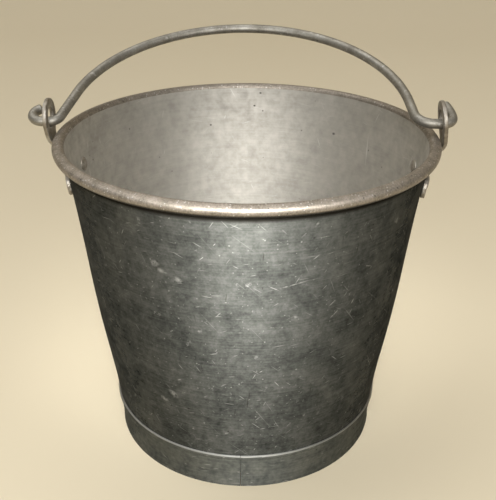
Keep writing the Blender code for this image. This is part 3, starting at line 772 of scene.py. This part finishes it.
def spun_inside(colours):
    """Spun aluminium kept clean by use: brighter and smoother, with faint level lines. The wall's
    scratches stop at the bottom, where they would run together at its middle."""
    material, tree, place = new_metal("spun_inside", 0.2)
    flat = unrolled(tree, place)
    height = add(tree, SEPARATE, {0: place}, "Z")
    on_wall = add(tree, MAP_RANGE, {0: height, 1: 5 * MM, 2: 12 * MM})
    cloudy = clouds(tree, place, 30, 0.32, 0.68, 5.0)
    mottle = clouds(tree, place, 8, 0.32, 0.68)
    lines = turning_lines(tree, place, 50, 1.6)
    mix = weighted(tree, [(cloudy, 0.45), (mottle, 0.4), (lines, 0.15)])
    specks = flecks(tree, place, 12, 1.0, 0.25)
    layers = scratch_layers(tree, flat, INSIDE_SCRATCHES, on_wall, colours.scratch)
    layers += [
        (placed_marks(tree, flat, INSIDE_PALE_MARKS), 1.0, colours.scratch),
        (specks, 0.6, colours.dirt_and_shade),
        (placed_marks(tree, flat, INSIDE_DARK_MARKS), 1.0, colours.dirt_and_shade),
    ]
    relief = [(lines, 0.25), (specks, -1.5), (cloudy, 1.0), (mottle, 0.5)]
    greys = (mix, colours.inside_dark, colours.inside_light)
    return finish_metal(material, greys, layers, (mottle, 0.7, 0.6), relief, 0.03)


def worn_curl(colours):
    """The rolled edge, rough from knocks and with a brownish film, so it glitters in small grains. Painted
    shade darkens its underside.
    """
    material, tree, place = new_metal("worn_curl")
    cloudy = clouds(tree, place, 10, 0.35, 0.65, 5.0)
    grain = clouds(tree, place, 1.3, 0.35, 0.65, 2.0)
    mix = weighted(tree, [(cloudy, 0.55), (grain, 0.45)])
    glints = flecks(tree, place, 2.2, 0.7, 0.35)
    pits = flecks(tree, place, 4, 0.8, 0.25)
    # Painted shade on the curl's underside.
    curl_shade = painted_shade_under_curl(tree, place)
    layers = [(glints, 0.6, colours.scratch), (pits, 0.7, colours.dirt_and_shade), (curl_shade, 1.0, colours.dirt_and_shade)]
    relief = [(grain, 1.0), (pits, -1.5), (cloudy, 1.0)]
    browns = (mix, colours.rim_dark, colours.rim_light)
    return finish_metal(material, browns, layers, (grain, 0.62, 0.5), relief, 0.05)


def bent_strip(colours, bead_height):
    """Strip of the same metal and as dull, with the top of its bead rubbed bright."""
    material, tree, place = new_metal("bent_strip", 0.7, colours.wall_edge)
    flat = unrolled(tree, place)
    height = add(tree, SEPARATE, {0: place}, "Z")
    cloudy = clouds(tree, place, 16, 0.3, 0.7)
    mottle = clouds(tree, place, 4, 0.3, 0.7, 2.0)
    lines = turning_lines(tree, place, 40, 1.2)
    mix = weighted(tree, [(cloudy, 0.5), (mottle, 0.3), (lines, 0.2)])
    bead_top = add(tree, MAP_RANGE, {0: height, 1: HOOP_HIGH.z - 1.0 * MM, 2: HOOP_HIGH.z - 0.5 * MM})
    groove = add(tree, MATH, {0: height, 1: HOOP_HIGH.z - bead_height, 2: 0.4 * MM}, operation="COMPARE")
    pits = flecks(tree, place, 9, 0.9, 0.25)
    layers = [(bead_top, 0.62, colours.scratch)]
    layers += scratch_layers(tree, flat, STRIP_SCRATCHES, 1.0, colours.scratch)
    layers += [(groove, 0.5, colours.dirt_and_shade), (pits, 0.7, colours.dirt_and_shade)]
    relief = [(lines, 0.3), (cloudy, 1.0), (mottle, 0.6), (pits, -1.5)]
    greys = (mix, colours.strip_dark, colours.strip_light)
    return finish_metal(material, greys, layers, (cloudy, 0.7, 0.62), relief, 0.03)


def cast_metal(name, colours, patch_size):
    """Sand-cast or hammered aluminium: grainy and brownish, with its high places rubbed bright. The
    wear attribute says how far a point stands out."""
    material, tree, place = new_metal(name)
    cloudy = clouds(tree, place, patch_size, 0.35, 0.65, 5.0)
    grain = clouds(tree, place, 1.1, 0.35, 0.65, 2.0)
    worn = add(tree, "ShaderNodeAttribute", {}, "Fac", attribute_name="wear")
    ragged = add(tree, MATH, {0: worn, 1: cloudy}, operation="MULTIPLY")
    edge = add(tree, MAP_RANGE, {0: ragged, 1: 0.15, 2: 0.7, 4: 0.8})
    pits = flecks(tree, place, 5, 0.8, 0.3)
    layers = [(edge, 1.0, colours.scratch), (pits, 0.6, colours.dirt_and_shade)]
    relief = [(grain, 1.0), (pits, -1.5), (cloudy, 1.0)]
    browns = (cloudy, colours.ear_dark, colours.ear_light)
    return finish_metal(material, browns, layers, (grain, 0.62, 0.5), relief, 0.05)


def drawn_rod(colours):
    """Drawn aluminium rod with a brownish film, rubbed bright in patches, and a few knocks."""
    material, tree, place = new_metal("drawn_rod")
    cloudy = clouds(tree, place, 14, 0.34, 0.66, 5.0)
    grain = clouds(tree, place, 1.2, 0.35, 0.65, 2.0)
    mix = weighted(tree, [(cloudy, 0.65), (grain, 0.35)])
    rubbed = clouds(tree, place, 5, 0.62, 0.72, 3.0)
    pits = flecks(tree, place, 6, 0.8, 0.3)
    layers = [(rubbed, 0.5, colours.scratch), (pits, 0.6, colours.dirt_and_shade)]
    relief = [(grain, 0.8), (pits, -1.5), (cloudy, 1.0)]
    browns = (mix, colours.rod_dark, colours.rod_light)
    return finish_metal(material, browns, layers, (cloudy, 0.6, 0.48), relief, 0.05)


# Shell


def wall_lean(sizes):
    """Angle of the wall from upright. Its outside runs from the base to touch the curl's bore."""
    curl = Vector((SHELL_HIGH.x - sizes.curl_radius, SHELL_HIGH.z - sizes.curl_radius))
    reach = curl - Vector((sizes.base_radius, SHELL_LOW.z))
    return math.atan2(reach.x, reach.y) - math.asin((sizes.curl_radius - sizes.sheet) / reach.length)


def swell_out(points, sizes):
    """Moves the wall's points out between the strip and the ears, most in the middle."""
    moved = []
    for x, z in points:
        share = min(1, max(0, (z - HOOP_HIGH.z) / (PLATE_LOW - HOOP_HIGH.z)))
        moved.append((x + sizes.wall_swell * math.sin(HALF_TURN * share) ** 2, z))
    return moved


def wear_flat(points, centre, sizes):
    """Wears the curl down on its top outer side, most at one angle and nothing at a reach from it."""
    most = math.radians(70)
    reach = math.radians(55)
    worn = []
    for x, z in points:
        radius = math.dist((x, z), centre)
        angle = math.atan2(z - centre[1], x - centre[0])
        share = min(1, abs(angle - most) / reach)
        radius -= sizes.curl_flat * math.cos(QUARTER_TURN * share) ** 2
        worn.append((centre[0] + radius * math.cos(angle), centre[1] + radius * math.sin(angle)))
    return worn


def shell_section(sizes):
    """The shell's section from the middle of its inside to the middle of its underside, and the
    finish of each point: 0 inside, 1 on the curl, 2 outside."""
    lean = wall_lean(sizes)
    base = SHELL_LOW.z
    corner_x = sizes.base_radius + sizes.corner_radius * (math.tan(lean) - 1 / math.cos(lean))
    corner = (corner_x, base + sizes.corner_radius)
    curl = (SHELL_HIGH.x - sizes.curl_radius, SHELL_HIGH.z - sizes.curl_radius)
    curl_start = HALF_TURN - lean
    curl_end = curl_start - sizes.curl_sweep
    inside = [(0, base + sizes.sheet)]
    inside += arc(corner, sizes.corner_radius - sizes.sheet, -QUARTER_TURN, -lean, CORNER_STEPS)
    rolled = wear_flat(arc(curl, sizes.curl_radius, curl_start, curl_end, CURL_STEPS), curl, sizes)
    bore = arc(curl, sizes.curl_radius - sizes.sheet, curl_end, curl_start, BORE_STEPS)
    outside = arc(corner, sizes.corner_radius, -lean, -QUARTER_TURN, CORNER_STEPS)
    outside.append((0, base))
    longest = 4 * MM
    inside = swell_out(fill_in(inside + rolled[:1], longest)[:-1], sizes)
    outside = swell_out(fill_in(bore[-1:] + outside, longest)[1:], sizes)
    finish = [0] * len(inside) + [1] * (len(rolled) + len(bore)) + [2] * len(outside)
    return inside + rolled + bore + outside, finish


class PAIL_OT_shell(bpy.types.Operator):
    """Make the spun shell with its curled rim"""

    bl_idname = "pail.shell"
    bl_label = "Shell"

    def execute(self, context):
        sizes = context.scene.pail_sizes
        colours = context.scene.pail_colours
        points, finish = shell_section(sizes)
        inputs = {
            "Steps": sizes.shell_steps,
            "Wave height": sizes.wave_height,
            "Wave length": sizes.wave_length,
            "Seed": 3.0,
            "Inside": spun_inside(colours),
            "Rim": worn_curl(colours),
            "Outside": spun_outside(colours),
        }
        section = chain_mesh("shell_section", points, finish)
        shell = grow("shell", section, shell_tree(turning_group()), inputs)
        close_and_face_out(shell)
        settle(shell, "pail", "shell", "pail_shell")
        return {"FINISHED"}


# Strip round the foot


def strip_section(sizes):
    """The strip's closed section: on the wall at its top, upright below, a bead along its top edge."""
    lean = wall_lean(sizes)
    seat = sizes.clearance / math.cos(lean)
    top = HOOP_HIGH.z
    low = HOOP_LOW.z
    knee = low + sizes.strip_upright

    def inner(height):
        return sizes.base_radius + height * math.tan(lean) + seat

    section = [(inner(knee), low), (inner(knee), knee), (inner(top), top)]
    middle = top - sizes.bead_height / 2
    steps = 14
    for i in range(steps + 1):
        angle = QUARTER_TURN - HALF_TURN * i / steps
        height = middle + math.sin(angle) * sizes.bead_height / 2
        proud = sizes.bead_proud * math.cos(angle)
        section.append((inner(height) + sizes.strip_sheet + proud, height))
    outer = inner(knee) + sizes.strip_sheet
    section += [(outer, knee), (outer, low), section[0]]
    return fill_in(section, 1.5 * MM)


class PAIL_OT_foot_strip(bpy.types.Operator):
    """Make the strip round the foot"""

    bl_idname = "pail.foot_strip"
    bl_label = "Foot strip"

    def execute(self, context):
        sizes = context.scene.pail_sizes
        colours = context.scene.pail_colours
        inputs = {
            "Steps": sizes.shell_steps,
            "Seam angle": sizes.seam_gap / sizes.base_radius,
            "Edge roughness": 0.4 * MM,
            "Lowest": HOOP_LOW.z,
            "Material": bent_strip(colours, sizes.bead_height),
        }
        section = chain_mesh("strip_section", strip_section(sizes))
        strip = grow("foot_strip", section, strip_tree(turning_group()), inputs)
        close_and_face_out(strip)
        settle(strip, "pail", "foot", "foot_hoop")
        return {"FINISHED"}


# Ears


class PAIL_OT_ears(bpy.types.Operator):
    """Make the two cast ears"""

    bl_idname = "pail.ears"
    bl_label = "Ears"

    def execute(self, context):
        sizes = context.scene.pail_sizes
        colours = context.scene.pail_colours
        metal = cast_metal("cast_ear", colours, 8)
        tree = casting_tree()
        for node in EARS:
            shape = bmesh.new()
            shape.from_mesh(frame["nodes"][node].data)
            bmesh.ops.remove_doubles(shape, verts=shape.verts, dist=SAME_PLACE)
            casting = bpy.data.meshes.new(node)
            shape.to_mesh(casting)
            shape.free()
            rough = new_object("rough_casting", casting)
            remesh = rough.modifiers.new("Even mesh", "REMESH")
            remesh.mode = "VOXEL"
            remesh.voxel_size = sizes.casting_grain
            smooth = rough.modifiers.new("Rounded edges", "SMOOTH")
            smooth.factor = 0.5
            smooth.iterations = 5
            depsgraph = context.evaluated_depsgraph_get()
            even = bpy.data.meshes.new_from_object(rough.evaluated_get(depsgraph))
            bpy.data.objects.remove(rough)
            inputs = {"Reach": 8, "Relief": 0.12 * MM, "Relief size": 5 * MM, "Material": metal}
            ear = grow(f"cast_{node}", even, tree, inputs)
            ear.data.shade_smooth()
            settle(ear, "pail", "ear", node)
        return {"FINISHED"}


# Rivets


def dome(radius, height, seat):
    """A quarter of an oval, from its top on the axis to its edge on a seat."""
    steps = 12
    angles = [QUARTER_TURN * i / steps for i in range(steps + 1)]
    return [(radius * math.sin(a), seat + height * math.cos(a)) for a in angles]


def rivet_section(sizes):
    """A rivet's section from the top of its head to the bottom of its tail. Zero is its middle."""
    grip = sizes.sheet + sizes.clearance + sizes.ear_thickness + 2 * sizes.rivet_seat
    head_seat = (grip + sizes.tail_height - sizes.head_height) / 2
    tail_seat = head_seat - grip
    head = dome(sizes.rivet_head, sizes.head_height, head_seat)
    tail = dome(sizes.rivet_tail, -sizes.tail_height, tail_seat)
    return head + [(sizes.rivet_shank, head_seat), (sizes.rivet_shank, tail_seat)] + tail[::-1]


class PAIL_OT_rivets(bpy.types.Operator):
    """Make the rivets that hold the ears"""

    bl_idname = "pail.rivets"
    bl_label = "Rivets"

    def execute(self, context):
        sizes = context.scene.pail_sizes
        colours = context.scene.pail_colours
        section = new_object("rivet_section", chain_mesh("rivet_section", rivet_section(sizes)))
        places = bpy.data.meshes.new("rivet_places")
        places.from_pydata([(low + high) / 2 for low, high in map(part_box, RIVETS)], [], [])
        inputs = {
            "Section": section,
            "Steps": 40,
            "Wall lean": wall_lean(sizes),
            "Hammering": 0.15 * MM,
            "Seed": 5,
            "Material": cast_metal("hammered_rivet", colours, 5),
        }
        rivets = grow("rivets", places, rivets_tree(turning_group()), inputs)
        bpy.data.objects.remove(section)
        close_and_face_out(rivets)
        settle(rivets, "pail", "rivet", *RIVETS)
        return {"FINISHED"}


# Bail


def arch(sizes):
    """Radius of the bail's arch and how far its centre is shifted to the right.

    Each end has to turn level at bend_end from its ring, which gives one equation a side."""
    shares = {}
    rests = {}
    for name, end in BAIL_ENDS.items():
        leave = end["leave_angle"]
        shares[name] = math.cos(leave) - math.tan(leave) * (1 - math.sin(leave))
        drop = end["bend_radius"] * (1 - math.sin(leave))
        reach = end["ring"] - end["bend_end"] - end["bend_radius"] * math.cos(leave)
        rests[name] = reach - math.tan(leave) * (sizes.bail_rise - drop)
    radius = (rests["left"] + rests["right"]) / (shares["left"] + shares["right"])
    return radius, rests["right"] - radius * shares["right"]


def bail_end(end, rise, radius, shift):
    """Points of one end, from where it leaves the arch to the tip of its hook, outwards positive."""
    leave = end["leave_angle"]
    place = Vector((shift + radius * math.cos(leave), rise - radius + radius * math.sin(leave)))
    heading = Vector((math.sin(leave), -math.cos(leave)))
    drop = end["bend_radius"] * (1 - math.sin(leave))
    points = [place.copy()]
    straight = (place.y - drop) / math.cos(leave)
    bends = [(end["bend_radius"], QUARTER_TURN - leave)] + end["hook"]
    runs = [straight, end["bend_end"] + end["hook_start"]] + [0] * (len(end["hook"]) - 1)
    for run, (bend_radius, turn) in zip(runs, bends):
        place += heading * run
        points.append(place.copy())
        centre = place + Vector((-heading.y, heading.x)) * bend_radius
        spoke = place - centre
        steps = max(8, round(turn / math.radians(4)))
        for i in range(1, steps + 1):
            points.append(centre + Matrix.Rotation(turn * i / steps, 2) @ spoke)
        place = points[-1].copy()
        heading = Matrix.Rotation(turn, 2) @ heading
    return points


def bail_path(sizes):
    """The rod's middle line in the frame, from the left hook's tip to the right one's."""
    radius, shift = arch(sizes)
    left = bail_end(BAIL_ENDS["left"], sizes.bail_rise, radius, -shift)
    right = bail_end(BAIL_ENDS["right"], sizes.bail_rise, radius, shift)
    first = HALF_TURN - BAIL_ENDS["left"]["leave_angle"]
    last = BAIL_ENDS["right"]["leave_angle"]
    crown = arc((shift, sizes.bail_rise - radius), radius, first, last, ARCH_STEPS)
    flat = [(-p.x, p.y) for p in reversed(left)] + crown[1:-1] + [(p.x, p.y) for p in right]
    way = Vector(BAIL_JOINT["axis"])
    tilt = Matrix.Rotation(-math.atan2(way.z, way.x), 4, "Y")
    place = Matrix.Translation(BAIL_JOINT["pos_m"]) @ tilt @ Matrix.Rotation(-sizes.bail_lean, 4, "X")
    points = []
    for x, z in flat:
        point = place @ Vector((x, 0, z))
        if not points or (point - points[-1]).length > SAME_PLACE:
            points.append(point)
    return points


class PAIL_OT_bail(bpy.types.Operator):
    """Make the bail"""

    bl_idname = "pail.bail"
    bl_label = "Bail"

    def execute(self, context):
        sizes = context.scene.pail_sizes
        colours = context.scene.pail_colours
        inputs = {
            "Radius": sizes.rod_radius,
            "Step": 0.6 * MM,
            "Sides": 32,
            "Tip rounding": sizes.tip_rounding,
            "Unevenness": 0.1 * MM,
            "Seed": 2.0,
            "Material": drawn_rod(colours),
        }
        bail = grow("bail_rod", chain_mesh("bail_path", bail_path(sizes)), rod_tree(), inputs)
        close_and_face_out(bail, SHARP_TIP)
        settle(bail, "bail", "bail", "bail")
        return {"FINISHED"}


# Stage


def new_lamp(kind, name, place, aim, power):
    """A lamp at a place that shines towards another. Gives its light."""
    light = bpy.data.lights.new(name, kind)
    light.energy = power
    lamp = new_object(name, light)
    lamp.location = place
    lamp.rotation_euler = (Vector(aim) - Vector(place)).to_track_quat("-Z", "Y").to_euler()
    return light


class PAIL_OT_stage(bpy.types.Operator):
    """Make the pale floor, the soft lamps and the camera"""

    bl_idname = "pail.stage"
    bl_label = "Stage"

    def execute(self, context):
        scene = context.scene
        colours = scene.pail_colours
        half_width = 6
        front = -6
        back = 1.6
        sweep = 1.2
        top = 5
        steps = 24
        profile = [(front, 0), (back, 0)]
        profile += arc((back, sweep), sweep, -QUARTER_TURN, 0, steps)[1:]
        profile.append((back + sweep, top))
        verts = [(side, y, HOOP_LOW.z + z) for side in (-half_width, half_width) for y, z in profile]
        count = len(profile)
        mesh = bpy.data.meshes.new("floor")
        mesh.from_pydata(verts, [], [(i, i + count, i + count + 1, i + 1) for i in range(count - 1)])
        mesh.shade_smooth()
        paint = bpy.data.materials.new("matt_paper")
        paint.use_nodes = True
        shader = paint.node_tree.nodes["Principled BSDF"]
        shader.inputs["Base Color"].default_value = (*colours.floor, 1)
        shader.inputs["Roughness"].default_value = 0.9
        mesh.materials.append(paint)
        new_object("floor", mesh)
        scene.world = bpy.data.worlds.new("studio")
        scene.world.use_nodes = True
        background = scene.world.node_tree.nodes["Background"]
        background.inputs["Color"].default_value = (*colours.room, 1)
        background.inputs["Strength"].default_value = ROOM_STRENGTH
        for name, way, strength, spread in FAR_LAMPS:
            light = new_lamp("SUN", name, way, (0, 0, 0), strength)
            light.angle = math.radians(spread)
        for name, place, aim, size, power, spread in NEAR_LAMPS:
            light = new_lamp("AREA", name, place, aim, power)
            light.shape = "RECTANGLE"
            light.size, light.size_y = size
            light.spread = math.radians(spread)
        view = bpy.data.cameras.new("camera")
        view.lens = LENS
        view.sensor_width = SENSOR
        camera = new_object("camera", view)
        turn = Matrix((CAMERA_RIGHT, CAMERA_TOP, -CAMERA_LOOK)).transposed().to_4x4()
        camera.matrix_world = Matrix.Translation(CAMERA_PLACE) @ turn
        scene.camera = camera
        scene.view_settings.view_transform = "Standard"
        return {"FINISHED"}


class PAIL_PT_panel(bpy.types.Panel):
    """Lists the pail's operators and settings"""

    bl_idname = "PAIL_PT_panel"
    bl_label = "Old aluminium pail"
    bl_space_type = "VIEW_3D"
    bl_region_type = "UI"
    bl_category = "Pail"

    def draw(self, context):
        for operator in OPERATORS:
            self.layout.operator(operator.bl_idname)
        for group in (context.scene.pail_sizes, context.scene.pail_colours):
            box = self.layout.box()
            for name in group.bl_rna.properties.keys():
                if name not in ("rna_type", "name"):
                    box.prop(group, name)


OPERATORS = (PAIL_OT_stage, PAIL_OT_shell, PAIL_OT_foot_strip, PAIL_OT_ears, PAIL_OT_rivets, PAIL_OT_bail)
CLASSES = (PailSizes, PailColours, *OPERATORS, PAIL_PT_panel)


def register():
    """Adds the classes and the two groups of settings."""
    for item in CLASSES:
        bpy.utils.register_class(item)
    bpy.types.Scene.pail_sizes = PointerProperty(type=PailSizes)
    bpy.types.Scene.pail_colours = PointerProperty(type=PailColours)


def unregister():
    """Takes the settings and the classes away again."""
    del bpy.types.Scene.pail_colours
    del bpy.types.Scene.pail_sizes
    for item in reversed(CLASSES):
        bpy.utils.unregister_class(item)


def main():
    """Makes the whole pail on its stage."""
    register()
    bpy.ops.pail.stage()
    bpy.ops.pail.shell()
    bpy.ops.pail.foot_strip()
    bpy.ops.pail.ears()
    bpy.ops.pail.rivets()
    bpy.ops.pail.bail()


if __name__ == "__main__":
    main()
